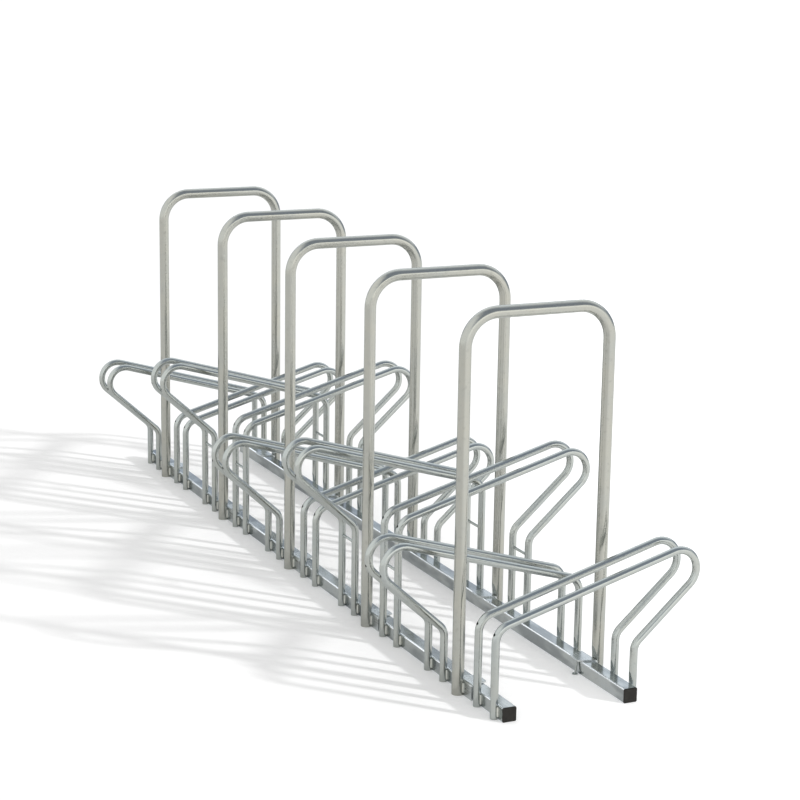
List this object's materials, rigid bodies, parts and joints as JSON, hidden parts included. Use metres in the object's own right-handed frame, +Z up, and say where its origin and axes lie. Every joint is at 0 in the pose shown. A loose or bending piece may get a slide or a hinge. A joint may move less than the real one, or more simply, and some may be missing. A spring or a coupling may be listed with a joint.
{
  "type": "floor bike rack",
  "caption": "Floor bike rack: two square rails carry bent-tube wheel holders that face both ways in turn, with tall leaning hoops between them.",
  "frame": {"origin": "middle of the rack at floor level: centre of the middle hoop, between the rails", "axes": "+X across the rack from the near rail to the far rail, +Y along the rails to the back, +Z up"},
  "size_m": [0.6, 2.1536, 0.784],
  "materials": {
    "zinc_steel": "bright zinc coat, satin, with faint streaks",
    "cap_plastic": "moulded black, matte"
  },
  "bodies": {
    "root": {"rail_near": "zinc_steel", "rail_far": "zinc_steel", "hoop_1": "zinc_steel", "hoop_2": "zinc_steel", "hoop_3": "zinc_steel", "hoop_4": "zinc_steel", "hoop_5": "zinc_steel", "hoop_bracket_1_near": "zinc_steel", "hoop_bracket_1_far": "zinc_steel", "hoop_bracket_2_near": "zinc_steel", "hoop_bracket_2_far": "zinc_steel", "hoop_bracket_3_near": "zinc_steel", "hoop_bracket_3_far": "zinc_steel", "hoop_bracket_4_near": "zinc_steel", "hoop_bracket_4_far": "zinc_steel", "hoop_bracket_5_near": "zinc_steel", "hoop_bracket_5_far": "zinc_steel", "holder_1_far_front": "zinc_steel", "holder_1_far_back": "zinc_steel", "holder_1_near_front": "zinc_steel", "holder_1_near_back": "zinc_steel", "holder_2_far_front": "zinc_steel", "holder_2_far_back": "zinc_steel", "holder_2_near_front": "zinc_steel", "holder_2_near_back": "zinc_steel", "holder_3_far_front": "zinc_steel", "holder_3_far_back": "zinc_steel", "holder_3_near_front": "zinc_steel", "holder_3_near_back": "zinc_steel", "holder_4_far_front": "zinc_steel", "holder_4_far_back": "zinc_steel", "holder_4_near_front": "zinc_steel", "holder_4_near_back": "zinc_steel", "holder_5_far_front": "zinc_steel", "holder_5_far_back": "zinc_steel", "holder_5_near_front": "zinc_steel", "holder_5_near_back": "zinc_steel", "spacer_rods_2_far": "zinc_steel", "spacer_rods_2_near": "zinc_steel", "spacer_rods_4_far": "zinc_steel", "spacer_rods_4_near": "zinc_steel", "floor_anchors": "zinc_steel", "end_cap_near_front": "cap_plastic", "end_cap_near_back": "cap_plastic", "end_cap_far_front": "cap_plastic", "end_cap_far_back": "cap_plastic"}
  },
  "joints": []
}
